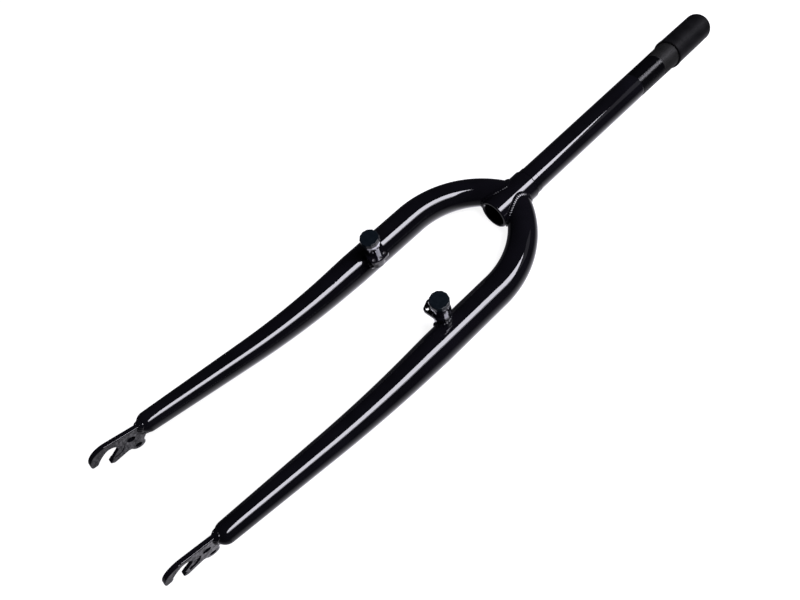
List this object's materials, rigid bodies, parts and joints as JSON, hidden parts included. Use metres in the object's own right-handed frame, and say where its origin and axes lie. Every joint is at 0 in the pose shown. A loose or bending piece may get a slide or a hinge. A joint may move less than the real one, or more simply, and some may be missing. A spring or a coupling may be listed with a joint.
{
  "type": "bicycle fork",
  "caption": "Rigid black bicycle fork with bent-over blades, threaded steerer with a cap, brake posts and hooked dropouts.",
  "frame": {"origin": "on the steerer's axis, on the shoulder that the lower headset race sits on", "axes": "+Y up the steerer, +X to the rider's left, +Z to the front of the bicycle, which is up as the fork lies"},
  "size_m": [0.1334, 0.6646, 0.0681],
  "materials": {
    "gloss_black": "gloss",
    "cap_plastic": "matte",
    "sleeve_black": "satin",
    "screw_plastic": "satin"
  },
  "bodies": {
    "root": {"steerer_tube": "gloss_black", "thread_cap": "cap_plastic", "left_blade": "gloss_black", "right_blade": "gloss_black", "left_dropout": "gloss_black", "right_dropout": "gloss_black", "left_brake_post": "gloss_black", "right_brake_post": "gloss_black", "left_spring_plate": "gloss_black", "right_spring_plate": "gloss_black", "left_post_sleeve": "sleeve_black", "right_post_sleeve": "sleeve_black", "left_post_screw": "screw_plastic", "right_post_screw": "screw_plastic"}
  },
  "joints": []
}
